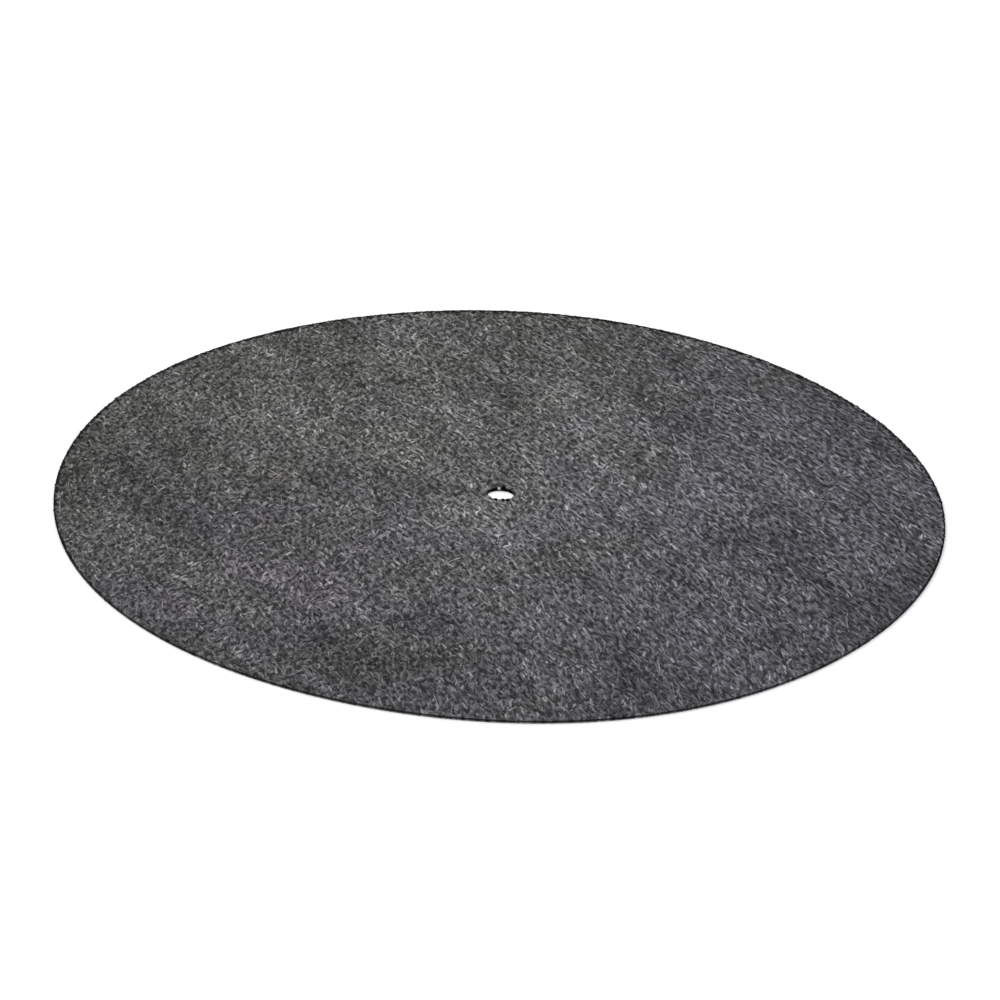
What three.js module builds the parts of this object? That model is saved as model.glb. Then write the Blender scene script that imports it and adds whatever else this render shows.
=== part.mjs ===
// A felt turntable mat: one disc of pressed felt, die-cut in a single stroke, that lies on the platter of a
// record player under the record. The hole in the middle clears the platter's spindle.
// Lengths are in millimetres and +Z is up. The origin is the centre of the underside, on the spindle's axis.

import * as THREE from "three";

// The sheet and the die.
const MAT_DIAMETER = 295;
const FELT_THICKNESS = 1.3;

// The spindle that a record and its mat are centred on, and the room that the hole leaves all round it.
const SPINDLE_DIAMETER = 7.1;
const SPINDLE_CLEARANCE = 0.8;

// The die goes in from the top face. It drags the fibres down with it, which rolls the upper edge over, and
// the felt springs back behind the blade, so that the cut wall leans and the foot is the widest part.
const EDGE_ROLL_WIDTH = 0.5;
const EDGE_ROLL_DEPTH = 0.4;
const CUT_LEAN = 0.08;
const FOOT_CHAMFER = 0.1;

// How finely the round shapes are faceted.
const STEPS_ROUND_THE_MAT = 180;
const STEPS_OVER_THE_ROLL = 6;

const rimRadius = MAT_DIAMETER / 2;
const holeRadius = SPINDLE_DIAMETER / 2 + SPINDLE_CLEARANCE;

// On a thin felt the roll and the chamfer share what wall there is.
const edgeDepth = Math.min(EDGE_ROLL_DEPTH + FOOT_CHAMFER, FELT_THICKNESS * 0.9);
const rollDepth = (edgeDepth * EDGE_ROLL_DEPTH) / (EDGE_ROLL_DEPTH + FOOT_CHAMFER);
const footChamfer = edgeDepth - rollDepth;

/**
 * The points of one die-cut edge in section, from the underside up to the top face.
 * into is the direction that leads from the cut into the felt: -1 at the rim, +1 at the spindle hole.
 */
function cutEdge(footRadius, into) {
  const wallTop = footRadius + into * CUT_LEAN;
  const rollTop = FELT_THICKNESS - rollDepth;
  const edge = [
    new THREE.Vector2(footRadius + into * footChamfer, 0),
    new THREE.Vector2(footRadius, footChamfer),
  ];
  for (let step = 0; step <= STEPS_OVER_THE_ROLL; step++) {
    const turn = ((Math.PI / 2) * step) / STEPS_OVER_THE_ROLL;
    edge.push(
      new THREE.Vector2(
        wallTop + into * EDGE_ROLL_WIDTH * (1 - Math.cos(turn)),
        rollTop + rollDepth * Math.sin(turn),
      ),
    );
  }
  return edge;
}

/** The whole section on one side of the axis: up the rim, in across the top face, and down the hole. */
function matSection() {
  const rim = cutEdge(rimRadius, -1);
  const hole = cutEdge(holeRadius, +1).reverse();
  return [...rim, ...hole, rim[0].clone()];
}

/** The felt, a warm dark grey with no shine. */
function feltMaterial() {
  return new THREE.MeshStandardMaterial({ name: "felt", color: 0x565556, roughness: 0.97, metalness: 0 });
}

/** The mat: its section turned about the spindle's axis. The lathe turns about Y, so the mesh is stood up. */
function feltMat() {
  const mat = new THREE.Mesh(new THREE.LatheGeometry(matSection(), STEPS_ROUND_THE_MAT), feltMaterial());
  mat.name = "felt_mat";
  mat.rotation.x = Math.PI / 2;
  return mat;
}

const turntableMat = new THREE.Group();
turntableMat.name = "turntable_mat";
turntableMat.add(feltMat());

export default turntableMat;
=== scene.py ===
# %% [markdown]
# # A felt turntable mat
# The mat is one disc of pressed felt, light and dark fibres mixed, cut from the roll in one stroke of a die.
# The imported model already holds its true size and its hole. What is missing is the felt itself: a sheet that
# is a little uneven, a nap of short fibres, and cut edges with a dark band and painted light and shade. This
# lesson adds those.

import math

import bmesh
import bpy
import numpy as np
from mathutils import Matrix, Vector
from mathutils.bvhtree import BVHTree


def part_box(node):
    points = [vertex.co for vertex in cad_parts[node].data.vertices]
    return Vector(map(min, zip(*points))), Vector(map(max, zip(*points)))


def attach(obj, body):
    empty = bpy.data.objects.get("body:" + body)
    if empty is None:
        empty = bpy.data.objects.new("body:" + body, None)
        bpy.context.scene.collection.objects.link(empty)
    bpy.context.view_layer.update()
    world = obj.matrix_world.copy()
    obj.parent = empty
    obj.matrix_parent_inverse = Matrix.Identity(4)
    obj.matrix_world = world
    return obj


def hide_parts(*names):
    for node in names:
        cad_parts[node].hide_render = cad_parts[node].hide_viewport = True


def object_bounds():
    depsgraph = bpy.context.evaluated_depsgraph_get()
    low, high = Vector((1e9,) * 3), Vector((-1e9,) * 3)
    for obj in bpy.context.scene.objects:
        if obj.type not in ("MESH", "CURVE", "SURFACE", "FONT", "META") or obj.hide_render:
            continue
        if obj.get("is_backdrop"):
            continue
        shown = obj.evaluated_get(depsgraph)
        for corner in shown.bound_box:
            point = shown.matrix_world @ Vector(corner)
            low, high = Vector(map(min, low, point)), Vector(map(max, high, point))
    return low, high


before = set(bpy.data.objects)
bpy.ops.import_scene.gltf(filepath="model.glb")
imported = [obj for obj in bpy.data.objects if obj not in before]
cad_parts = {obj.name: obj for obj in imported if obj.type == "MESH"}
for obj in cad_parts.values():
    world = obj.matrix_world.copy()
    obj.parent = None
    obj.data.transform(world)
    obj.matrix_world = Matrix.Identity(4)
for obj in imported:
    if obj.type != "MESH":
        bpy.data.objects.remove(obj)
cad_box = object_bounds()

MM = 0.001
mat_low, mat_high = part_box("felt_mat")
rim_radius = (mat_high.x - mat_low.x) / 2
thickness = mat_high.z - mat_low.z
print(f"mat: {rim_radius * 2 / MM:.1f} mm across and {thickness / MM:.2f} mm thick")

# %% [markdown]
# The spindle hole isn't in the record as a number, but it is in the mesh: the model's points that lie nearest
# to the axis are on the hole's wall. Reading it there keeps the felt and the model from drifting apart.

# %% Read the spindle hole's radius from the model
cad_points = np.array([v.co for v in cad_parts["felt_mat"].data.vertices])
hole_radius = float(np.hypot(cad_points[:, 0], cad_points[:, 1]).min())

# %% [markdown]
# ## The camera
# The picture was taken from a good metre away with a long lens, looking down at the mat at 27 degrees. The
# camera was held with a slight turn, so the mat's right end hangs lower in the frame. The lens is shifted by
# a few pixels, which puts the spindle hole where the photograph has it.

# %% Place the camera
FRAME_SIDE_PX = 1000
FOCAL_LENGTH_PX = 3789.0
CAMERA_DISTANCE = 1.262
CAMERA_ELEVATION = math.radians(27.13)
CAMERA_ROLL = math.radians(2.83)
HOLE_IN_FRAME_PX = (500.6, 495.1)
SENSOR_WIDTH_MM = 36.0
SEEN_RANGE = (0.05, 50.0)

camera_data = bpy.data.cameras.new("camera")
camera_data.sensor_width = SENSOR_WIDTH_MM
camera_data.lens = FOCAL_LENGTH_PX / FRAME_SIDE_PX * camera_data.sensor_width
camera_data.shift_x = 0.5 - HOLE_IN_FRAME_PX[0] / FRAME_SIDE_PX
camera_data.shift_y = HOLE_IN_FRAME_PX[1] / FRAME_SIDE_PX - 0.5
camera_data.clip_start, camera_data.clip_end = SEEN_RANGE
camera = bpy.data.objects.new("camera", camera_data)
bpy.context.scene.collection.objects.link(camera)
towards_camera = Vector((0.0, -math.cos(CAMERA_ELEVATION), math.sin(CAMERA_ELEVATION)))
camera_place = Vector((0.0, 0.0, thickness / 2)) + towards_camera * CAMERA_DISTANCE
tilt = Matrix.Rotation(math.pi / 2 - CAMERA_ELEVATION, 4, "X")
camera.matrix_world = Matrix.Translation(camera_place) @ tilt @ Matrix.Rotation(CAMERA_ROLL, 4, "Z")
bpy.context.scene.camera = camera
print(f"camera: {camera_data.lens:.0f} mm lens, {CAMERA_DISTANCE:.2f} m from the spindle hole")

# %% [markdown]
# ## Light, floor and background
# The photograph is a plain product picture: light from all round, one broad soft lamp above, and a white
# ground that clips to paper white. A white world gives the even light. The floor is a pale matt plane with a
# little white of its own that only the camera and reflections see, so that it reads as paper and still takes
# the mat's shadow.

# %% Write small helpers for shader nodes
def add_node(tree, kind, **settings):
    """Adds a shader node. A setting is a property of the node, or an input's value if its name starts in_."""
    node = tree.nodes.new(kind)
    for name, value in settings.items():
        if not name.startswith("in_"):
            setattr(node, name, value)
    for name, value in settings.items():
        if name.startswith("in_"):
            set_input(tree, node, name[3:].replace("_", " "), value)
    return node


def set_input(tree, node, name, value):
    """Joins a socket to an input, or sets its plain value. The name may be the input's number."""
    socket = node.inputs[int(name)] if name.isdigit() else node.inputs[name]
    if isinstance(value, bpy.types.NodeSocket):
        tree.links.new(value, socket)
    else:
        socket.default_value = value


def calculate(tree, operation, *values, clamp=False):
    """Adds a Math node for one sum and returns its result."""
    node = add_node(tree, "ShaderNodeMath", operation=operation, use_clamp=clamp)
    for number, value in enumerate(values):
        set_input(tree, node, str(number), value)
    return node.outputs[0]


def calculate_vector(tree, operation, *values):
    """Adds a Vector Math node and returns its result. SCALE takes its factor as the second value."""
    node = add_node(tree, "ShaderNodeVectorMath", operation=operation)
    for number, value in enumerate(values):
        set_input(tree, node, "Scale" if operation == "SCALE" and number == 1 else str(number), value)
    return node.outputs["Value" if operation == "LENGTH" else "Vector"]


def ramp(tree, value, low, high, to_low=0.0, to_high=1.0):
    """A smooth step: to_low below low, to_high above high."""
    node = add_node(tree, "ShaderNodeMapRange", interpolation_type="SMOOTHSTEP")
    for name, number in (("Value", value), ("From Min", low), ("From Max", high)):
        set_input(tree, node, name, number)
    set_input(tree, node, "To Min", to_low)
    set_input(tree, node, "To Max", to_high)
    return node.outputs["Result"]


def mix_colours(tree, share, first, second, blend="MIX"):
    """Adds a Mix node for two colours and returns its colour."""
    node = add_node(tree, "ShaderNodeMix", data_type="RGBA", blend_type=blend)
    for number, value in ((0, share), (6, first), (7, second)):
        set_input(tree, node, str(number), value)
    return node.outputs[2]


def noise(tree, place, size, detail):
    """Adds a flat Noise Texture and returns its outputs: a value, and a colour of three values."""
    return add_node(
        tree, "ShaderNodeTexNoise", noise_dimensions="2D", in_Vector=place, in_Scale=1.0 / size,
        in_Detail=detail,
    ).outputs


def mix_values(tree, share, first, second):
    """Adds a Mix node for two plain values and returns its value."""
    return add_node(tree, "ShaderNodeMix", data_type="FLOAT", in_0=share, in_2=first, in_3=second).outputs[0]


def grey(level):
    """A neutral colour."""
    return (level, level, level, 1.0)


# %% Light the scene
WORLD_STRENGTH = 0.62
LAMP_POWER = 14.0
LAMP_SIZE = 1.4
LAMP_PLACE = Vector((-0.45, 0.35, 1.5))

world = bpy.data.worlds.new("studio")
bpy.context.scene.world = world
world.use_nodes = True
world.node_tree.nodes.clear()


def seen_directly(tree):
    """1 for a ray from the camera, or one that a shiny or clear surface sends on, and 0 for light."""
    path = add_node(tree, "ShaderNodeLightPath").outputs
    mirrored = calculate(tree, "MAXIMUM", path["Is Glossy Ray"], path["Is Transmission Ray"])
    return calculate(tree, "MAXIMUM", path["Is Camera Ray"], mirrored)


world_strength = ramp(world.node_tree, seen_directly(world.node_tree), 0.0, 1.0, WORLD_STRENGTH, 1.0)
background = add_node(world.node_tree, "ShaderNodeBackground", in_Color=grey(1.0), in_Strength=world_strength)
add_node(world.node_tree, "ShaderNodeOutputWorld", in_Surface=background.outputs[0])

lamp_data = bpy.data.lights.new("soft_lamp", "AREA")
lamp_data.energy = LAMP_POWER
lamp_data.size = LAMP_SIZE
lamp = bpy.data.objects.new("soft_lamp", lamp_data)
bpy.context.scene.collection.objects.link(lamp)
lamp.location = LAMP_PLACE
lamp.rotation_euler = (-LAMP_PLACE).to_track_quat("-Z", "Y").to_euler()
bpy.context.scene.view_settings.view_transform = "Standard"
print(f"light: white world at {WORLD_STRENGTH}, one lamp {LAMP_SIZE} m wide at {LAMP_POWER} W")

# %% Lay the floor
FLOOR_SIDE = 12.0
FLOOR_COLOUR = grey(0.82)
FLOOR_WHITE = 0.24


def floor_material():
    """Matt pale paint that clips to white for the camera, yet still darkens where the mat shades it."""
    material = bpy.data.materials.new("paper_floor")
    material.use_nodes = True
    tree = material.node_tree
    tree.nodes.clear()
    paint = add_node(tree, "ShaderNodeBsdfDiffuse", in_Color=FLOOR_COLOUR)
    strength = calculate(tree, "MULTIPLY", seen_directly(tree), FLOOR_WHITE)
    own_white = add_node(tree, "ShaderNodeEmission", in_Color=grey(1.0), in_Strength=strength)
    both = add_node(tree, "ShaderNodeAddShader", in_0=paint.outputs[0], in_1=own_white.outputs[0])
    add_node(tree, "ShaderNodeOutputMaterial", in_Surface=both.outputs[0])
    return material


bpy.ops.object.select_all(action="DESELECT")
bpy.ops.mesh.primitive_plane_add(size=FLOOR_SIDE, location=(0.0, 0.0, 0.0))
floor = bpy.context.object
floor.name = "floor"
floor.data.materials.append(floor_material())
floor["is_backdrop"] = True
print(f"floor: {FLOOR_SIDE:.0f} m square")

# %% [markdown]
# ## The felt sheet
# The blank is a plain cylinder, as wide as the die. Insetting its two faces as far as the spindle hole and
# bridging the two inner edges makes the hole, which keeps the mesh in clean rings: a boolean would leave
# slivers. The die drags the top fibres down at both cuts, so those two edges get a wide bevel and the two
# lower ones a narrow one. Last, the top is cut into rings, fine enough to carry the felt's unevenness.

# %% Write helpers for edit mode
def edit(piece, mode="VERT"):
    """Opens a piece for editing with nothing selected."""
    bpy.ops.object.select_all(action="DESELECT")
    bpy.context.view_layer.objects.active = piece
    piece.select_set(True)
    bpy.ops.object.mode_set(mode="EDIT")
    bpy.ops.mesh.select_mode(type=mode)
    bpy.ops.mesh.select_all(action="DESELECT")


def select_where(piece, kind, test):
    """Selects only the faces, edges or vertices of the open mesh that pass a test, and counts them."""
    mesh = bmesh.from_edit_mesh(piece.data)
    for group in (mesh.faces, mesh.edges, mesh.verts):
        for item in group:
            item.select = False
    chosen = [item for item in getattr(mesh, kind) if test(item)]
    for item in chosen:
        item.select_set(True)
    bmesh.update_edit_mesh(piece.data)
    return len(chosen)


def close_edit():
    """Goes back to object mode."""
    bpy.ops.object.mode_set(mode="OBJECT")


# %% Cut the blank and its hole
STEPS_ROUND = 640

bpy.ops.object.select_all(action="DESELECT")
bpy.ops.mesh.primitive_cylinder_add(
    vertices=STEPS_ROUND, radius=rim_radius, depth=thickness, location=(0.0, 0.0, thickness / 2)
)
felt = bpy.context.object
felt.name = "felt_sheet"
bpy.ops.object.transform_apply(location=True, rotation=True, scale=True)
edit(felt, "FACE")
select_where(felt, "faces", lambda face: abs(face.normal.z) > 0.9)
bpy.ops.mesh.inset(thickness=rim_radius - hole_radius, depth=0.0, use_individual=True)
bpy.ops.mesh.delete(type="FACE")


def reach_of(corner):
    """How far a point of the mesh lies from the axis."""
    return corner.co.xy.length


bpy.ops.mesh.select_mode(type="EDGE")
select_where(felt, "edges", lambda edge: edge.is_boundary and reach_of(edge.verts[0]) < rim_radius / 2)
bpy.ops.mesh.bridge_edge_loops()
close_edit()
print(f"blank: {len(felt.data.polygons)} faces, {len(felt.data.vertices)} points")

# %% [markdown]
# Each bevel is worked on the edges of one height, found by their place. The rim and the hole are cut by the
# same blade, so both get the same two bevels.

# %% Roll the cut edges over
EDGE_ROLL = 0.42 * MM
FOOT_BEVEL = 0.10 * MM
ROLL_SEGMENTS = 5
SAME_PLACE = 0.01 * MM


def is_level(edge, height):
    """True for an edge that lies at one height."""
    return all(abs(corner.co.z - height) < SAME_PLACE for corner in edge.verts)


def runs_round(edge):
    """True for an edge that follows the rim or the hole, and doesn't cross the felt."""
    return abs(reach_of(edge.verts[0]) - reach_of(edge.verts[1])) < SAME_PLACE


edit(felt, "EDGE")
select_where(felt, "edges", lambda edge: is_level(edge, thickness) and runs_round(edge))
bpy.ops.mesh.bevel(offset=EDGE_ROLL, segments=ROLL_SEGMENTS, profile=0.5, affect="EDGES")
select_where(felt, "edges", lambda edge: is_level(edge, 0.0) and runs_round(edge))
bpy.ops.mesh.bevel(offset=FOOT_BEVEL, segments=1, affect="EDGES")
close_edit()
print(f"edges rolled: {len(felt.data.polygons)} faces")

# %% Cut the top and the underside into rings
RINGS_ON_TOP = 100
RINGS_BELOW = 12
DOUBLES_WITHIN = 0.001 * MM


def is_spoke(edge, height):
    """True for a long edge that crosses the felt from the hole to the rim at one height."""
    return is_level(edge, height) and edge.calc_length() > rim_radius / 2


edit(felt, "EDGE")
spokes = select_where(felt, "edges", lambda edge: is_spoke(edge, thickness))
bpy.ops.mesh.subdivide(number_cuts=RINGS_ON_TOP)
select_where(felt, "edges", lambda edge: is_spoke(edge, 0.0))
bpy.ops.mesh.subdivide(number_cuts=RINGS_BELOW)
bpy.ops.mesh.select_all(action="SELECT")
bpy.ops.mesh.remove_doubles(threshold=DOUBLES_WITHIN)
bpy.ops.mesh.normals_make_consistent(inside=False)
close_edit()
print(f"rings: {spokes} spokes, now {len(felt.data.polygons)} faces")

# %% [markdown]
# Felt isn't woven, so it doesn't stay true: it relaxes more along the roll than across it, and the disc ends
# up about a millimetre out of round. Four slow waves round the rim describe that. Each one fades towards the
# middle. The hole has opened a little sideways on its own, and that stretch fades within a few millimetres.

# %% Let the disc go a little out of round
WAVES_ROUND_THE_RIM = (
    # waves in a full turn, height, where the crest is
    (2, 0.92 * MM, math.radians(44.0)),
    (3, 0.13 * MM, math.radians(54.0)),
    (4, 0.34 * MM, math.radians(12.7)),
    (5, 0.39 * MM, math.radians(2.0)),
)
# along X, Y and Z
HOLE_STRETCH = (1.05, 0.97, 1.0)
STRETCH_FADE = 6 * MM


def read_points(piece):
    """A mesh's points as an array."""
    points = np.empty(len(piece.data.vertices) * 3, np.float32)
    piece.data.vertices.foreach_get("co", points)
    return points.reshape(-1, 3).astype(float)


def write_points(piece, points):
    """Puts an array back as a mesh's points."""
    piece.data.vertices.foreach_set("co", points.astype(np.float32).ravel())
    piece.data.update()


def out_of_round(angle):
    """How far the rim stands out at an angle, in metres."""
    return sum(height * np.cos(waves * (angle - crest)) for waves, height, crest in WAVES_ROUND_THE_RIM)


points = read_points(felt)
reach = np.hypot(points[:, 0], points[:, 1])
stretch = out_of_round(np.arctan2(points[:, 1], points[:, 0])) / rim_radius * (reach / rim_radius)
points[:, :2] *= (1.0 + stretch)[:, None]
near_hole = np.clip(1.0 - (reach - hole_radius) / STRETCH_FADE, 0.0, 1.0)[:, None]
points *= 1.0 + (np.array(HOLE_STRETCH) - 1.0) * near_hole
write_points(felt, points)
rim_waves = out_of_round(np.linspace(-math.pi, math.pi, STEPS_ROUND)) / MM
print(f"rim: from {rim_waves.min():+.2f} mm to {rim_waves.max():+.2f} mm out of round")

# %% [markdown]
# The top of pressed felt is never quite flat: the fibres lie thicker in one place than in the next. Two
# Displace modifiers with cloud textures raise and lower the top, a slow one for the sheet and a quick one for
# the clumps in it. They act on a vertex group that leaves out the underside and the foot of the cut walls.

# %% Raise and lower the top
# size and height
SLOW_SWELL = (11 * MM, 0.16 * MM)
CLUMPS = (4.2 * MM, 0.16 * MM)
TOP_FROM = 0.7 * thickness

top_group = felt.vertex_groups.new(name="top")
top_numbers = np.nonzero(read_points(felt)[:, 2] > TOP_FROM)[0]
top_group.add([int(number) for number in top_numbers], 1.0, "ADD")
bpy.context.view_layer.objects.active = felt
for name, (size, height) in (("slow_swell", SLOW_SWELL), ("clumps", CLUMPS)):
    clouds = bpy.data.textures.new(name, "CLOUDS")
    clouds.noise_scale = size
    clouds.noise_depth = 2
    displace = felt.modifiers.new(name, "DISPLACE")
    displace.texture = clouds
    displace.texture_coords = "LOCAL"
    displace.direction = "Z"
    displace.strength = height
    displace.mid_level = 0.5
    displace.vertex_group = "top"
    bpy.ops.object.modifier_apply(modifier=name)
bpy.ops.object.shade_smooth()
heights = read_points(felt)[top_numbers, 2]
print(f"top: from {heights.min() / MM:.2f} to {heights.max() / MM:.2f} mm high")

# %% [markdown]
# ## The felt's finish
# Seen from arm's length, this felt is a mass of short strokes, black, grey and nearly white, that lie over
# each other, most of them along the grain and some across it. So the finish is painted the same way: layer
# over layer of strokes. One node group lays one layer. It turns and stretches the ground, and lets a Voronoi
# texture drop one fibre into each of its cells. Each fibre gets its own tone, bow and turn.

# %% Build the node group that lays one layer of fibres
def new_group(name, inputs, outputs):
    """A shader node group with named sockets. It returns the group and its input and output nodes."""
    group = bpy.data.node_groups.new(name, "ShaderNodeTree")
    for label, kind in inputs:
        group.interface.new_socket(label, in_out="INPUT", socket_type=kind)
    for label, kind in outputs:
        group.interface.new_socket(label, in_out="OUTPUT", socket_type=kind)
    return group, group.nodes.new("NodeGroupInput").outputs, group.nodes.new("NodeGroupOutput")


VALUE, VECTOR = "NodeSocketFloat", "NodeSocketVector"
# how far one seed moves the pattern, a cell's length and a fibre's bow as shares of the fibre's length, and
# the shares of its half length and half width between which it fades
SEED_SHIFT = 0.37
CELL_SHARE = 0.8
BOW_SHARE = 0.6
FIBRE_FADE = (1.0, 0.3)


def fibre_layer_group():
    """Strokes of one length and width that lie about one heading. Lengths are in metres."""
    group, given, result = new_group(
        "fibre_layer",
        [("Place", VECTOR), ("Length", VALUE), ("Width", VALUE), ("Heading", VALUE), ("Wander", VALUE),
         ("Crowding", VALUE), ("Seed", VALUE)],
        [("Fibre", VALUE), ("Tone", VALUE)],
    )
    seed = add_node(group, "ShaderNodeCombineXYZ", in_0=given["Seed"], in_1=given["Seed"]).outputs[0]
    shift = calculate_vector(group, "SCALE", seed, SEED_SHIFT)
    shifted = calculate_vector(group, "ADD", given["Place"], shift)
    turned = add_node(
        group, "ShaderNodeVectorRotate", rotation_type="Z_AXIS", in_Vector=shifted, in_Angle=given["Heading"]
    ).outputs[0]
    cell = add_node(
        group, "ShaderNodeCombineXYZ",
        in_0=calculate(group, "MULTIPLY", given["Length"], CELL_SHARE),
        in_1=calculate(group, "DIVIDE", given["Width"], given["Crowding"]), in_2=1.0,
    ).outputs[0]
    stretched = calculate_vector(group, "DIVIDE", turned, cell)
    cells = add_node(
        group, "ShaderNodeTexVoronoi", voronoi_dimensions="2D", in_Vector=stretched, in_Scale=1.0
    )
    from_middle = calculate_vector(group, "SUBTRACT", stretched, cells.outputs["Position"])
    in_metres = calculate_vector(group, "MULTIPLY", from_middle, cell)
    chance = add_node(group, "ShaderNodeSeparateColor", in_Color=cells.outputs["Color"]).outputs
    turn_chance = calculate(group, "SUBTRACT", chance["Red"], 0.5)
    own_turn = calculate(group, "MULTIPLY", turn_chance, given["Wander"])
    own = add_node(
        group, "ShaderNodeVectorRotate", rotation_type="Z_AXIS", in_Vector=in_metres, in_Angle=own_turn
    ).outputs[0]
    part = add_node(group, "ShaderNodeSeparateXYZ", in_Vector=own).outputs
    along = calculate(group, "DIVIDE", part["X"], given["Length"])
    along_squared = calculate(group, "MULTIPLY", along, along)
    bow_chance = calculate(group, "SUBTRACT", chance["Blue"], 0.5)
    deepest_bow = calculate(group, "MULTIPLY", given["Length"], BOW_SHARE)
    own_bow = calculate(group, "MULTIPLY", bow_chance, deepest_bow)
    bow = calculate(group, "MULTIPLY", along_squared, own_bow)
    across = calculate(group, "DIVIDE", calculate(group, "ADD", part["Y"], bow), given["Width"])
    across_squared = calculate(group, "MULTIPLY", across, across)
    off_centre = calculate(group, "SQRT", calculate(group, "ADD", along_squared, across_squared))
    share_of_half = calculate(group, "MULTIPLY", off_centre, 2.0)
    group.links.new(ramp(group, share_of_half, *FIBRE_FADE), result.inputs["Fibre"])
    group.links.new(chance["Green"], result.inputs["Tone"])
    return group


fibre_layer = fibre_layer_group()
print(f"group {fibre_layer.name}: {len(fibre_layer.nodes)} nodes")

# %% [markdown]
# The felt looks different at its cut edges. A second group gives the factor on the brightness there, and
# most of it is painted light and shade. On the top there is a dark band along the rim. It is wide at the back,
# with a paler lip, and almost nothing at the front. The rim's wall has painted light at its foot and painted
# shade half way up. Its shoulder has a painted highlight at the front and is dark elsewhere. The hole's wall
# has painted shade, darkest on its far side.

# %% Build the node group for the painted light and shade at the cut edges
EDGE_BAND = 1.05 * MM
BAND_SKEW = 1.6
SKEW_TURN = math.radians(5.0)
BAND_SHADE = 0.14
BAND_FADE = (0.7, 1.0)
LEAST_BAND = 0.1
LIP_REACH = (0.35 * MM, 0.75 * MM)
LIP_SHADE = 0.50
# size of the ragged places, and the least and the most that they leave of the band's width
BAND_RAGGED = (2.2 * MM, 0.55, 1.35)
WALL_DEPTH = 0.35 * MM
HOLE_WALL_REACH = (2.0 * WALL_DEPTH, 2.1 * WALL_DEPTH)
# the rim's wall: painted light at its foot, then painted shade half way up
FOOT_SHADES = (1.7, 0.20)
# the rim's shoulder: a painted highlight at the front, dark at the sides and the back
SHOULDER_SHADES = (1.5, 0.13)
# painted shade on the hole's wall, at its near side and at its far side
HOLE_WALL_SHADES = (0.75, 0.07)
# how far towards the back, from -1 at the front to 1 at the back
FRONT_ENDS = (-0.75, -0.25)
BACK_STARTS = (0.1, 0.6)
HOLE_BACK_STARTS = (0.05, 0.50)
# shares of the felt's thickness
FOOT_ENDS = (0.20, 0.42)
SHOULDER_STARTS = (0.74, 0.88)
WALL_ENDS = (0.97, 0.88)
# most of a noise texture's values lie between these
NOISE_RANGE = (0.3, 0.7)


def cut_edge_group():
    """The factor that the cut edges put on the brightness, mostly painted light and shade. Width is that of
    the band at the rim's sides.
    """
    group, given, result = new_group(
        "cut_edge", [("Place", VECTOR), ("Width", VALUE)], [("Shade", VALUE)]
    )
    part = add_node(group, "ShaderNodeSeparateXYZ", in_Vector=given["Place"]).outputs
    flat_place = add_node(group, "ShaderNodeCombineXYZ", in_0=part["X"], in_1=part["Y"]).outputs[0]
    distance = calculate_vector(group, "LENGTH", flat_place)
    angle = calculate(group, "ARCTAN2", part["Y"], part["X"])
    rim = rim_radius
    for waves, height, crest in WAVES_ROUND_THE_RIM:
        turn = calculate(group, "MULTIPLY", calculate(group, "SUBTRACT", angle, crest), float(waves))
        swing = calculate(group, "MULTIPLY", calculate(group, "COSINE", turn), height)
        rim = calculate(group, "ADD", swing, rim)
    from_rim = calculate(group, "SUBTRACT", rim, distance)
    unstretched = calculate_vector(group, "DIVIDE", flat_place, HOLE_STRETCH)
    from_hole = calculate(group, "SUBTRACT", calculate_vector(group, "LENGTH", unstretched), hole_radius)
    towards_back = calculate(group, "SINE", calculate(group, "SUBTRACT", angle, SKEW_TURN))
    back_widening = calculate(group, "ADD", calculate(group, "MULTIPLY", towards_back, BAND_SKEW), 1.0)
    size, narrow, broad = BAND_RAGGED
    raggedness = noise(group, flat_place, size, 0.0)[0]
    ragged = calculate(group, "MULTIPLY", back_widening, ramp(group, raggedness, *NOISE_RANGE, narrow, broad))
    band_end = calculate(group, "MULTIPLY", given["Width"], calculate(group, "MAXIMUM", ragged, LEAST_BAND))
    at_back = ramp(group, towards_back, *BACK_STARTS)
    lip = calculate(group, "MULTIPLY", ramp(group, from_rim, *LIP_REACH, LIP_SHADE, BAND_SHADE), at_back)
    band_shade = calculate(group, "MAXIMUM", lip, BAND_SHADE)
    share_of_band = calculate(group, "DIVIDE", from_rim, band_end)
    top_shade = ramp(group, share_of_band, *BAND_FADE, band_shade, 1.0)
    share_of_height = calculate(group, "DIVIDE", part["Z"], thickness)
    # painted highlight on the shoulder at the front; at the back it takes the lip's level
    shoulder = calculate(
        group, "MAXIMUM", ramp(group, towards_back, *FRONT_ENDS, *SHOULDER_SHADES),
        calculate(group, "MULTIPLY", at_back, LIP_SHADE),
    )
    # painted light at the foot of the rim's wall and painted shade above it
    below = ramp(group, share_of_height, *FOOT_ENDS, *FOOT_SHADES)
    rim_wall = mix_values(group, ramp(group, share_of_height, *SHOULDER_STARTS), below, shoulder)
    # painted shade on the hole's wall, darkest at its far side
    hole_wall = ramp(group, towards_back, *HOLE_BACK_STARTS, *HOLE_WALL_SHADES)
    at_hole = ramp(group, from_hole, *HOLE_WALL_REACH, 1.0, 0.0)
    wall_shade = mix_values(group, at_hole, rim_wall, hole_wall)
    nearest = calculate(group, "MINIMUM", from_rim, from_hole)
    on_wall = calculate(
        group, "MULTIPLY", ramp(group, nearest, WALL_DEPTH, WALL_DEPTH * 0.5),
        ramp(group, share_of_height, *WALL_ENDS),
    )
    group.links.new(mix_values(group, on_wall, top_shade, wall_shade), result.inputs["Shade"])
    return group


cut_edge = cut_edge_group()
print(f"group {cut_edge.name}: {len(cut_edge.nodes)} nodes")

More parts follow.
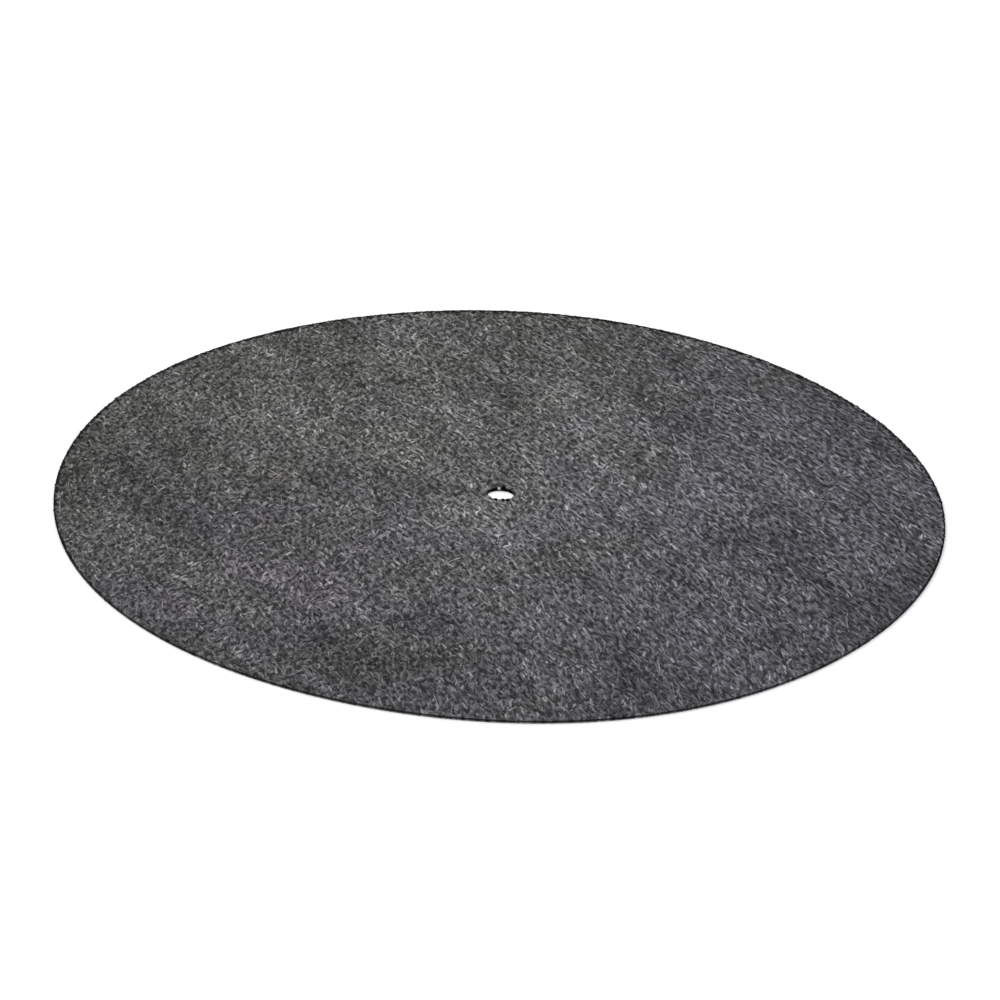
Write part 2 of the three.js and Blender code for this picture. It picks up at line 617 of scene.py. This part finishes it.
# %% [markdown]
# The blend of fibres isn't even either. A third group gives the slow changes: cloudy patches where more light
# fibres came to the top, a brightness that is highest near the middle and a little lower towards the rim,
# listed places that are darker or paler, a tint that drifts from warm at the back left to cool at the right,
# and a trace of mauve at the front left.

# %% Build the node group for the slow changes of shade
GRAIN = math.radians(118.0)
TUFT_SIZE_MM = (3.4, 1.7, 1.0)
TUFT_RANGE = (0.28, 0.72)
TUFT_SHADES = (0.70, 1.31)
# patches where the tufts cross the grain. They are common at the left and rare at the right
CROSS_TURN = math.radians(-55.0)
PATCH_SIZE_MM = 7.0
PATCH_EDGE = (0.47, 0.53)
LEFT_TO_RIGHT = (-140 * MM, 70 * MM)
PATCH_SHIFT = (-0.06, -0.30)
# size and strength
CLOUDS_MM = ((60.0, 0.20), (22.0, 0.36), (8.0, 0.32), (3.2, 0.16))
CLOUD_STRETCH = (2.4, 1.0, 1.0)
BRIGHTEST_MM = (5.0, 15.0, 0.0)
FALL_REACH_MM = 190.0
FALL_SHADES = (1.21, 0.82)
SHADED_MM = (
    # x, y, reach, shade at its middle
    (80.0, -27.0, 18.0, 0.70),
    (112.0, -70.0, 22.0, 0.70),
    (-50.0, -112.0, 36.0, 0.92),
    (75.0, 78.0, 55.0, 0.88),
    (20.0, -58.0, 45.0, 0.89),
    (45.0, -38.0, 45.0, 0.88),
    (-42.0, -34.0, 45.0, 0.82),
    (-128.0, -12.0, 30.0, 0.86),
    (-98.0, 34.0, 42.0, 1.15),
    (-74.0, -2.0, 36.0, 1.16),
    (-32.0, 112.0, 45.0, 1.12),
)
DRIFT_REACH = (-210 * MM, 165 * MM)
COOL_REACH = (31 * MM, 72 * MM)
COOL_SHARE = 0.32
TINT_SIZE_MM = 30.0
TINT_SWING = 0.18
MAUVE_MM = (-85.0, -50.0, 0.0)
MAUVE_REACH_MM = (35.0, 85.0)


def slow_shade_group():
    """Patches is about 1 and multiplies the brightness. Drift is 0 where the felt is warm and 1 where it is
    cool. Mauve is a mask."""
    group, given, result = new_group(
        "slow_shade", [("Place", VECTOR)], [("Patches", VALUE), ("Drift", VALUE), ("Mauve", VALUE)]
    )
    part = add_node(group, "ShaderNodeSeparateXYZ", in_Vector=given["Place"]).outputs
    level = add_node(group, "ShaderNodeCombineXYZ", in_0=part["X"], in_1=part["Y"]).outputs[0]
    in_mm = calculate_vector(group, "SCALE", level, 1.0 / MM)
    shade = 1.0
    along_grain = add_node(
        group, "ShaderNodeVectorRotate", rotation_type="Z_AXIS", in_Vector=in_mm, in_Angle=-GRAIN
    ).outputs[0]
    drawn_out = calculate_vector(group, "DIVIDE", along_grain, CLOUD_STRETCH)
    for size_mm, strength in CLOUDS_MM:
        clouds = noise(group, drawn_out, size_mm, 1.0)[0]
        swing = calculate(group, "MULTIPLY", calculate(group, "SUBTRACT", clouds, 0.5), strength * 2)
        shade = calculate(group, "ADD", swing, shade)
    crossing = add_node(
        group, "ShaderNodeVectorRotate", rotation_type="Z_AXIS", in_Vector=along_grain, in_Angle=-CROSS_TURN
    ).outputs[0]
    with_grain, across_it = (
        noise(group, calculate_vector(group, "DIVIDE", way, TUFT_SIZE_MM), 1.0, 0.0)[0]
        for way in (along_grain, crossing)
    )
    patches = noise(group, in_mm, PATCH_SIZE_MM, 0.0)[0]
    shift = ramp(group, part["X"], *LEFT_TO_RIGHT, *PATCH_SHIFT)
    is_crossing = ramp(group, calculate(group, "ADD", patches, shift), *PATCH_EDGE)
    tufts = mix_values(group, is_crossing, with_grain, across_it)
    shade = calculate(group, "MULTIPLY", shade, ramp(group, tufts, *TUFT_RANGE, *TUFT_SHADES))
    distance = calculate_vector(group, "LENGTH", calculate_vector(group, "SUBTRACT", in_mm, BRIGHTEST_MM))
    shade = calculate(group, "MULTIPLY", shade, ramp(group, distance, 0.0, FALL_REACH_MM, *FALL_SHADES))
    for x_mm, y_mm, reach_mm, middle_shade in SHADED_MM:
        from_middle = calculate_vector(group, "SUBTRACT", in_mm, (x_mm, y_mm, 0.0))
        distance = calculate_vector(group, "LENGTH", from_middle)
        shade = calculate(group, "MULTIPLY", shade, ramp(group, distance, 0.0, reach_mm, middle_shade, 1.0))
    group.links.new(shade, result.inputs["Patches"])
    slant = calculate(group, "SUBTRACT", part["X"], part["Y"])
    drift = calculate(
        group, "ADD", ramp(group, slant, *DRIFT_REACH, 0.0, 1.0 - COOL_SHARE),
        ramp(group, part["X"], *COOL_REACH, 0.0, COOL_SHARE),
    )
    tint_clouds = noise(group, in_mm, TINT_SIZE_MM, 1.0)["Color"]
    cloud = add_node(group, "ShaderNodeSeparateColor", in_Color=tint_clouds).outputs["Green"]
    swing = ramp(group, cloud, *NOISE_RANGE, -TINT_SWING, TINT_SWING)
    drift = calculate(group, "ADD", drift, swing, clamp=True)
    group.links.new(drift, result.inputs["Drift"])
    distance = calculate_vector(group, "LENGTH", calculate_vector(group, "SUBTRACT", in_mm, MAUVE_MM))
    group.links.new(ramp(group, distance, *MAUVE_REACH_MM, 1.0, 0.0), result.inputs["Mauve"])
    return group


slow_shade = slow_shade_group()
print(f"group {slow_shade.name}: {len(slow_shade.nodes)} nodes")

# %% [markdown]
# Now the layers are stacked. The lowest are wide clumps, the upper ones are finer. Each layer covers what
# lies below it with the tone of its own fibres, so a black fibre hides a white one as it does in the felt.
# The same stack adds up to a height for the bump, because a fibre on top stands out.

# %% Make the felt
# length and width in millimetres, heading in degrees from the X axis, own turn in degrees, crowding
FIBRE_LAYERS = (
    (6.0, 1.60, 112.0, 60.0, 0.55),
    (5.5, 1.50, 70.0, 50.0, 0.55),
    (5.5, 1.40, 100.0, 50.0, 0.50),
    (5.0, 1.30, 60.0, 50.0, 0.45),
    (5.0, 1.20, 125.0, 50.0, 0.50),
    (4.5, 1.10, 85.0, 50.0, 0.45),
    (4.5, 1.00, 115.0, 40.0, 0.40),
)
FIBRE_TONES = ((0.0, 0.035), (0.25, 0.095), (0.60, 0.145), (0.85, 0.18), (1.0, 0.23))
WARM_TINT = (1.0, 1.0, 0.955, 1.0)
COOL_TINT = (1.003, 0.98, 1.105, 1.0)
MAUVE_TINT = (1.036, 1.0, 1.036, 1.0)
GROUND_LEVEL = 0.03
# size of the bends in the ground, and how far they push it
GROUND_BEND = (9 * MM, 3 * MM)
HEIGHT_KEPT = 0.6
BUMP_STRENGTH = 0.25
BUMP_DEPTH = 0.12 * MM
FELT_ROUGHNESS = 1.0
FELT_GLOSS = 0.05


def tone_ramp(tree, tone, tones):
    """Turns a fibre's number from 0 to 1 into its brightness."""
    node = add_node(tree, "ShaderNodeValToRGB", in_Fac=tone)
    places = node.color_ramp.elements
    while len(places) < len(tones):
        places.new(0.5)
    for element, (position, level) in zip(places, tones):
        element.position = position
        element.color = grey(level)
    return node.outputs["Color"]


def slow_tint(tree, slow):
    """The felt's tint at a place, from the masks of the slow_shade group."""
    tint = mix_colours(tree, slow["Drift"], WARM_TINT, COOL_TINT)
    return mix_colours(tree, slow["Mauve"], tint, MAUVE_TINT, "MULTIPLY")


def felt_material():
    """Pressed felt: layers of fibres, cloudy patches, cut edges with painted light and shade, no shine."""
    material = bpy.data.materials.new("pressed_felt")
    material.use_nodes = True
    tree = material.node_tree
    tree.nodes.clear()
    place = add_node(tree, "ShaderNodeTexCoord").outputs["Object"]
    bend_size, bend_reach = GROUND_BEND
    bend = noise(tree, place, bend_size, 1.0)["Color"]
    centred = calculate_vector(tree, "SUBTRACT", bend, (0.5, 0.5, 0.5))
    bent_place = calculate_vector(tree, "ADD", place, calculate_vector(tree, "SCALE", centred, bend_reach))
    colour = grey(GROUND_LEVEL)
    height = 0.0
    for number, (length, width, heading, own_turn, crowding) in enumerate(FIBRE_LAYERS):
        layer = add_node(
            tree, "ShaderNodeGroup", node_tree=fibre_layer, in_Place=bent_place, in_Length=length * MM,
            in_Width=width * MM, in_Heading=-math.radians(heading), in_Wander=math.radians(own_turn),
            in_Crowding=crowding, in_Seed=number + 1.0,
        ).outputs
        colour = mix_colours(tree, layer["Fibre"], colour, tone_ramp(tree, layer["Tone"], FIBRE_TONES))
        height = calculate(tree, "ADD", layer["Fibre"], calculate(tree, "MULTIPLY", height, HEIGHT_KEPT))
    slow = add_node(tree, "ShaderNodeGroup", node_tree=slow_shade, in_Place=place).outputs
    colour = mix_colours(tree, 1.0, colour, slow_tint(tree, slow), "MULTIPLY")
    # the cut edges' factor: a dark band on the top, painted light and shade on the walls
    cut = add_node(tree, "ShaderNodeGroup", node_tree=cut_edge, in_Place=place, in_Width=EDGE_BAND).outputs
    brightness = calculate(tree, "MULTIPLY", slow["Patches"], cut["Shade"])
    colour = calculate_vector(tree, "SCALE", colour, brightness)
    bump = add_node(
        tree, "ShaderNodeBump", in_Strength=BUMP_STRENGTH, in_Distance=BUMP_DEPTH, in_Height=height
    ).outputs[0]
    shader = add_node(
        tree, "ShaderNodeBsdfPrincipled", in_Base_Color=colour, in_Roughness=FELT_ROUGHNESS, in_Normal=bump
    )
    shader.inputs["Specular IOR Level"].default_value = FELT_GLOSS
    add_node(tree, "ShaderNodeOutputMaterial", in_Surface=shader.outputs[0])
    return material


felt.data.materials.clear()
felt.data.materials.append(felt_material())
print(f"felt finish: {len(FIBRE_LAYERS)} layers of fibres")

# %% [markdown]
# ## The nap
# On the real mat the top layer of fibres isn't paint: strands rise out of the felt, bend over and go back in,
# and the light falls between them. Bump can't do that at the rim or from the side, so the strands on top are
# real geometry. One strand is modelled: a three-sided rod along X, one unit long and one across, cut into
# four, with both ends drawn to a point. It has only twelve faces, because it is laid tens of thousands of
# times.

# %% Model one strand
BLUNTNESS = 1.3
CREST_FROM = 0.4
ALONG_X = (math.pi / 2, 0.0, math.pi / 2)

bpy.ops.object.select_all(action="DESELECT")
bpy.ops.mesh.primitive_cylinder_add(vertices=3, radius=0.5, depth=1.0, rotation=ALONG_X)
strand = bpy.context.object
strand.name = "strand_pattern"
bpy.ops.object.transform_apply(location=True, rotation=True, scale=True)
edit(strand, "EDGE")
select_where(strand, "edges", lambda edge: edge.calc_length() > 0.9)
bpy.ops.mesh.subdivide(number_cuts=3)
bpy.ops.mesh.select_mode(type="VERT")
for end in (-0.5, 0.5):
    select_where(strand, "verts", lambda corner: abs(corner.co.x - end) < 0.01)
    bpy.ops.mesh.merge(type="CENTER")
select_where(strand, "verts", lambda corner: abs(corner.co.x) < 0.4)
bpy.ops.transform.resize(value=(BLUNTNESS, 1.0, 1.0), center_override=(0.0, 0.0, 0.0))
bpy.ops.mesh.select_all(action="SELECT")
bpy.ops.mesh.normals_make_consistent(inside=False)
close_edit()
strand_points = read_points(strand)
strand_faces = [tuple(face.vertices) for face in strand.data.polygons]
strand_crest = (strand_points[:, 2] > CREST_FROM).astype(float)
bpy.data.objects.remove(strand)
print(f"strand: {len(strand_points)} points, {strand_crest.sum():.0f} of them on its crest")
print(f"strand: {len(strand_faces)} faces")

# %% [markdown]
# Each copy of the strand is one lock of fibres. Locks lie side by side in loose rows along the grain, about
# two millimetres apart, which is the rhythm that the eye sees in the felt. Where the nap was brushed less,
# at the back left, they turn every way. Slow waves over the mat turn neighbours together, so that locks sweep
# in patches. The draws are seeded: each run lays the same nap.

# %% Find a place and a heading for each lock
# between the rows, along a row, and how far a lock strays from its spot as a share of these
MAIN_ROWS = (2.05 * MM, 3.5 * MM, 0.32)
CUT_MARGIN = 0.80 * MM
PAST_THE_RIM = 1.02
WAVE_SIZES = (0.6, 1.6)
SWEEP_SIZE = 14 * MM
SWEEP = math.radians(6.0)
OWN_TURN = math.radians(10.0)
GRAIN_BEND = math.radians(12.0)
CROSSED_TURNS = (math.radians(-75.0), math.radians(15.0))
SLANT = 0.35
# places from the back left to the front right, and the share of locks that cross the grain there
CROSSED_SHARES = ((-1.0, -0.45, 0.0, 0.4, 1.0), (0.90, 0.80, 0.50, 0.12, 0.10))


def slow_waves(x, y, wavelength, seed, waves=14):
    """A smooth random landscape over the mat, with a mean of 0 and a spread of 1."""
    chance = np.random.default_rng(seed)
    total = 0.0
    for _ in range(waves):
        turn, phase = chance.uniform(0.0, 2 * math.pi, 2)
        pitch = 2 * math.pi / (wavelength * chance.uniform(*WAVE_SIZES))
        total = total + np.sin(pitch * (x * math.cos(turn) + y * math.sin(turn)) + phase)
    return total * math.sqrt(2.0 / waves)


def distance_to_cut(x, y):
    """How far a place on the felt lies from the nearer of the two cuts. It is negative off the felt."""
    distance = np.hypot(x, y)
    rim = rim_radius + out_of_round(np.arctan2(y, x))
    from_hole = np.hypot(x / HOLE_STRETCH[0], y / HOLE_STRETCH[1]) - hole_radius
    return np.minimum(rim - distance, from_hole)


def loose_rows(across, along, jitter, seed):
    """Places in staggered rows along the grain, each a little off its spot. They cover the felt."""
    chance = np.random.default_rng(seed)
    reach = rim_radius * PAST_THE_RIM
    rows = np.arange(-reach, reach, across)
    steps = np.arange(-reach, reach, along)
    u, v = (axis.ravel() for axis in np.meshgrid(rows, steps, indexing="ij"))
    v = v + np.repeat(chance.uniform(0.0, along, len(rows)), len(steps))
    u = u + chance.uniform(-jitter, jitter, len(u)) * across
    v = v + chance.uniform(-jitter, jitter, len(v)) * along
    x = v * math.cos(GRAIN) - u * math.sin(GRAIN)
    y = v * math.sin(GRAIN) + u * math.cos(GRAIN)
    kept = distance_to_cut(x, y) > CUT_MARGIN
    return x[kept], y[kept]


def nap_heading(x, y, chance):
    """Which way a lock lies: along the grain at the front right, and more and more mixed to the back left."""
    crossed = np.interp((x - SLANT * y) / rim_radius, *CROSSED_SHARES)
    sweep = slow_waves(x, y, SWEEP_SIZE, seed=3) * SWEEP
    own = chance.normal(0.0, OWN_TURN, len(x))
    cross = chance.uniform(*CROSSED_TURNS, len(x))
    grain = GRAIN + GRAIN_BEND * y / rim_radius
    return grain + sweep + own + np.where(chance.random(len(x)) < crossed, cross, 0.0)


row_x, row_y = loose_rows(*MAIN_ROWS, seed=5)

# %% [markdown]
# A lock rises from the felt by its lift, bends over and goes back in. Its two tips end below the surface, so
# that none floats. The height of the felt under each comes from a ray cast down on the sheet.

# %% Bend and place the locks
TIP_DEPTH = 0.10 * MM
TIP_MARGIN = 0.3 * MM
LEAST_SLOPE = 0.05
FLATNESS = 0.10
BOW_SPREAD = 0.05
WAVE_SPREAD = 0.03
RAY_START = 10 * MM

felt_surface = BVHTree.FromObject(felt, bpy.context.evaluated_depsgraph_get())


def surface_height(x, y):
    """How high the felt's top is at a place, or its nominal thickness if the place is off the felt."""
    hit = felt_surface.ray_cast(Vector((x, y, RAY_START)), Vector((0.0, 0.0, -1.0)))[0]
    return hit.z if hit is not None and hit.z > thickness / 2 else thickness


def fit_between_cuts(x, y, headings, lengths):
    """Shortens the strands that would reach over a cut."""
    towards_cut = np.abs(np.cos(headings - np.arctan2(y, x)))
    room = 2.0 * (distance_to_cut(x, y) - TIP_MARGIN) / np.maximum(towards_cut, LEAST_SLOPE)
    return np.minimum(lengths, room)


def bend_strands(places, along, outward, lengths, widths, lifts, chance):
    """The pattern strand's points for each copy. A copy lies at its place along one direction, bulges outward
    by its lift and sinks in at its tips. Places and directions are vectors, and lengths are in metres."""
    length_way, width_way, height_way = (strand_points[:, axis][None, :] for axis in range(3))
    bows = chance.normal(0.0, BOW_SPREAD, len(places))[:, None]
    waves = chance.normal(0.0, WAVE_SPREAD, len(places))[:, None]
    arch = 1.0 - (2.0 * length_way) ** 2
    forth = lengths[:, None] * length_way
    side = lengths[:, None] * arch * (bows + waves * length_way * 4.0) + widths[:, None] * width_way
    out = lifts[:, None] * arch - TIP_DEPTH * (1.0 - arch) + widths[:, None] * height_way * FLATNESS
    sideways = np.cross(outward, along)
    return (places[:, None, :] + forth[..., None] * along[:, None, :]
            + side[..., None] * sideways[:, None, :] + out[..., None] * outward[:, None, :])


def make_piece(name, strands, tones, material):
    """One mesh piece from many bent strands. Each strand's tone is kept as an attribute of its points."""
    count, corners = strands.shape[:2]
    faces = [tuple(first + corner for corner in face)
             for first in range(0, count * corners, corners) for face in strand_faces]
    mesh = bpy.data.meshes.new(name)
    mesh.from_pydata(strands.reshape(-1, 3), [], faces)
    mesh.shade_smooth()
    mesh.attributes.new("tone", "FLOAT", "POINT").data.foreach_set("value", np.repeat(tones, corners))
    mesh.attributes.new("crest", "FLOAT", "POINT").data.foreach_set("value", np.tile(strand_crest, count))
    mesh.materials.append(material)
    piece = bpy.data.objects.new(name, mesh)
    bpy.context.scene.collection.objects.link(piece)
    print(f"{name}: {count} strands, {len(faces)} faces")
    return piece


# %% [markdown]
# The locks' finish reads the tone that each one was given and follows the slow changes of the felt below. A
# lock in the nap shows its own tone on its crest, and its flanks fade to one level: painted shade on the paler
# locks, and a blend into the felt on all of them.

# %% Make the locks' finish
# the one level that each lock's flanks fade to, painted shade on the paler locks
FLANK_SHADE_LEVEL = 0.120
STRAND_ROUGHNESS = 0.9


def strand_material(name, dark, light, in_nap=True):
    """Soft matt fibre between two levels of brightness. In the nap its flanks fade to one level, painted shade
    on the paler locks, and the cut edges' factor of painted light and shade is put on it."""
    material = bpy.data.materials.new(name)
    material.use_nodes = True
    tree = material.node_tree
    tree.nodes.clear()
    place = add_node(tree, "ShaderNodeTexCoord").outputs["Object"]
    tone = add_node(tree, "ShaderNodeAttribute", attribute_name="tone").outputs["Fac"]
    slow = add_node(tree, "ShaderNodeGroup", node_tree=slow_shade, in_Place=place).outputs
    crest = add_node(tree, "ShaderNodeAttribute", attribute_name="crest").outputs["Fac"]
    level = add_node(tree, "ShaderNodeMapRange", in_Value=tone, in_To_Min=dark, in_To_Max=light).outputs[0]
    if in_nap:
        # painted shade: the flanks fade from the crest's tone to one level
        level = ramp(tree, crest, 0.0, 1.0, FLANK_SHADE_LEVEL, level)
        # the cut edges' dark band and painted light and shade
        cut = add_node(
            tree, "ShaderNodeGroup", node_tree=cut_edge, in_Place=place, in_Width=EDGE_BAND
        ).outputs
        level = calculate(tree, "MULTIPLY", level, cut["Shade"])
    brightness = calculate(tree, "MULTIPLY", slow["Patches"], level)
    colour = calculate_vector(tree, "SCALE", slow_tint(tree, slow), brightness)
    shader = add_node(
        tree, "ShaderNodeBsdfPrincipled", in_Base_Color=colour, in_Roughness=STRAND_ROUGHNESS
    )
    shader.inputs["Specular IOR Level"].default_value = FELT_GLOSS
    add_node(tree, "ShaderNodeOutputMaterial", in_Surface=shader.outputs[0])
    return material


# %% [markdown]
# The rows are dealt out to a grey and a pale piece. Black locks, shorter ones, are scattered between them.
# Loose fibres are thinner and cross over the top, and a few long ones wander among them. The locks grow
# longer towards the right and broader towards the back.

# %% Lay the nap
# at the left and right ends, and at the front and the back
NAP_GROWTH = (0.80, 1.15)
BREADTH_GROWTH = (0.86, 1.10)
PALE_SHARE = 0.5
BLACK_ROWS = (2.1 * MM, 3.6 * MM, 0.4)
LOOSE_ROWS = (3.3 * MM, 3.3 * MM, 0.5)
LONG_ROWS = (8.0 * MM, 9.0 * MM, 0.5)


def lay_locks(name, places, tones, lean, length_range, width_range, lift_range, seed):
    """A piece of locks at the given places. Lengths, widths and lifts are in millimetres. A lean of 1 spreads
    the tones evenly, and a greater one makes the palest rare."""
    chance = np.random.default_rng(seed)
    x, y = places
    count = len(x)
    headings = nap_heading(x, y, chance)
    lengths, widths, lifts = (
        chance.uniform(*limits, count) * MM for limits in (length_range, width_range, lift_range)
    )
    lengths *= np.interp(x, [-rim_radius, rim_radius], NAP_GROWTH)
    widths *= np.interp(y, [-rim_radius, rim_radius], BREADTH_GROWTH)
    on_felt = np.stack([x, y, [surface_height(*place) for place in zip(x, y)]], axis=1)
    along = np.stack([np.cos(headings), np.sin(headings), np.zeros(count)], axis=1)
    upward = np.tile([0.0, 0.0, 1.0], (count, 1))
    lengths = fit_between_cuts(x, y, headings, lengths)
    strands = bend_strands(on_felt, along, upward, lengths, widths, lifts, chance)
    return make_piece(name, strands, chance.random(count) ** lean, strand_material(name, *tones))


is_pale = np.random.default_rng(6).random(len(row_x)) < PALE_SHARE
grey_rows = (row_x[~is_pale], row_y[~is_pale])
pale_rows = (row_x[is_pale], row_y[is_pale])
black_rows = loose_rows(*BLACK_ROWS, seed=7)
thin_rows = loose_rows(*LOOSE_ROWS, seed=8)
long_rows = loose_rows(*LONG_ROWS, seed=9)
NAP_LOCKS = (
    # name, places, darkest and palest, lean, lengths, widths, lifts, seed
    ("nap_black", black_rows, (0.010, 0.05), 0.9, (2.2, 4.6), (1.5, 2.0), (0.04, 0.12), 11),
    ("nap_grey", grey_rows, (0.13, 0.17), 1.0, (3.2, 6.0), (1.8, 2.3), (0.0, 0.06), 12),
    ("nap_pale", pale_rows, (0.145, 0.34), 3.4, (3.2, 6.0), (1.8, 2.3), (0.0, 0.10), 13),
    ("nap_loose", thin_rows, (0.07, 0.34), 2.6, (2.6, 5.0), (1.3, 1.7), (0.05, 0.16), 14),
    ("nap_long", long_rows, (0.01, 0.30), 1.0, (7.0, 11.0), (0.8, 1.1), (0.12, 0.20), 15),
)
nap_pieces = [lay_locks(*kind) for kind in NAP_LOCKS]

# %% [markdown]
# The blade leaves a short fray on both cuts: fibres that lie along the cut wall and bulge out of it a little.
# They are the same strand again, finer, laid on the rim's wall and on the hole's wall.

# %% Fray the cuts
RIM_FRAY = 4800
HOLE_FRAY = 150
RIM_BULGE_MM = (0.0, 0.10)
HOLE_BULGE_MM = (0.0, 0.28)
FRAY_LENGTH_MM = (0.8, 2.0)
FRAY_WIDTH_MM = (0.18, 0.34)
# a share of the thickness
FRAY_HEIGHT = (0.04, 0.92)
FRAY_TILT = math.radians(22.0)
FRAY_TONES = (0.04, 0.30)
FRAY_LOWEST = 0.02 * MM
FRAY_HIGHEST = thickness - 0.04 * MM


def lay_fray(name, count, radius_at, outward_sign, bulge_mm, seed):
    """A piece of fine strands along a round cut. The bulge is the range of how far they stand out."""
    chance = np.random.default_rng(seed)
    angle = chance.uniform(-math.pi, math.pi, count)
    height = chance.uniform(*FRAY_HEIGHT, count) * thickness
    tilt = chance.normal(0.0, FRAY_TILT, count)
    radial = np.stack([np.cos(angle), np.sin(angle), np.zeros(count)], axis=1)
    tangent = np.stack([-np.sin(angle), np.cos(angle), np.zeros(count)], axis=1)
    along = tangent * np.cos(tilt)[:, None] + np.array([0.0, 0.0, 1.0]) * np.sin(tilt)[:, None]
    places = radial * radius_at(angle)[:, None] + np.array([0.0, 0.0, 1.0]) * height[:, None]
    lengths = chance.uniform(*FRAY_LENGTH_MM, count) * MM
    widths = chance.uniform(*FRAY_WIDTH_MM, count) * MM
    lifts = chance.uniform(*bulge_mm, count) * MM
    strands = bend_strands(places, along, radial * outward_sign, lengths, widths, lifts, chance)
    strands[..., 2] = np.clip(strands[..., 2], FRAY_LOWEST, FRAY_HIGHEST)
    return make_piece(name, strands, chance.random(count), strand_material(name, *FRAY_TONES))


def rim_at(angle):
    """The rim's radius at an angle, in metres."""
    return rim_radius + out_of_round(angle)


def hole_at(angle):
    """The spindle hole's radius at an angle, in metres."""
    along_x, along_y, _ = HOLE_STRETCH
    return hole_radius * (along_x * np.cos(angle) ** 2 + along_y * np.sin(angle) ** 2)


rim_fray = lay_fray("rim_fray", RIM_FRAY, rim_at, 1.0, RIM_BULGE_MM, 21)
hole_fray = lay_fray("hole_fray", HOLE_FRAY, hole_at, -1.0, HOLE_BULGE_MM, 22)

# %% [markdown]
# At the far edge of the spindle hole a small tuft of pale fibres sticks out of the dark wall. The punch also
# pushed black locks down, one at the far edge and three at the near edge. All are seen in the photograph,
# and here they are a few strands set one by one. A tone of 1 is the palest and 0 is black.

# %% Set the tuft and the black locks at the spindle hole
TUFT_MM = ((-0.85, 4.00, 1.02), (-0.60, 3.98, 1.10), (-0.40, 4.00, 1.00), (-0.65, 3.92, 0.96))
TUFT_LEAN = (0.35, -0.25, -0.45, 0.15)
SPECKS_MM = ((-1.60, -4.95, 1.36), (0.85, -5.00, 1.36), (2.50, -4.80, 1.36), (0.95, 4.75, 1.33))
# length, width and lift
TUFT_LOCK_MM = (0.95, 0.60, 0.16)
SPECK_LOCK_MM = (1.6, 2.2, 0.20)
STRAY_TONES = (0.002, 0.90)

stray_chance = np.random.default_rng(23)


def set_locks(places_mm, along, outward, lock_mm):
    """Strands of one size at given places. Along is a direction for each, outward is one for all."""
    count = len(places_mm)
    lengths, widths, lifts = (np.full(count, side * MM) for side in lock_mm)
    every_outward = np.tile(outward, (count, 1))
    return bend_strands(np.array(places_mm) * MM, along, every_outward, lengths, widths, lifts, stray_chance)


tuft_along = np.array([(lean, 0.0, 1.0) for lean in TUFT_LEAN])
tuft_along /= np.linalg.norm(tuft_along, axis=1)[:, None]
speck_along = np.tile([1.0, 0.0, 0.0], (len(SPECKS_MM), 1))
tuft_strands = set_locks(TUFT_MM, tuft_along, [0.0, -1.0, 0.0], TUFT_LOCK_MM)
speck_strands = set_locks(SPECKS_MM, speck_along, [0.0, 0.0, 1.0], SPECK_LOCK_MM)
stray_fibres = make_piece(
    "stray_fibres", np.concatenate([tuft_strands, speck_strands]),
    np.array([1.0] * len(TUFT_MM) + [0.0] * len(SPECKS_MM)),
    strand_material("stray_fibres", *STRAY_TONES, in_nap=False),
)
nap_pieces += [rim_fray, hole_fray, stray_fibres]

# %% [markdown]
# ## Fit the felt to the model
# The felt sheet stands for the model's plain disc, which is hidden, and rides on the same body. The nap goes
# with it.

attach(felt, "root")
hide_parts("felt_mat")
for piece in nap_pieces:
    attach(piece, "root")

# %% Print the sizes and finish
visual_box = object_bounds()
sizes = {
    "cad": [list(corner) for corner in cad_box],
    "visual": [list(corner) for corner in visual_box],
}
for name, box in sizes.items():
    print(f"{name} box in mm: {[round(float(value) / MM, 2) for corner in box for value in corner]}")
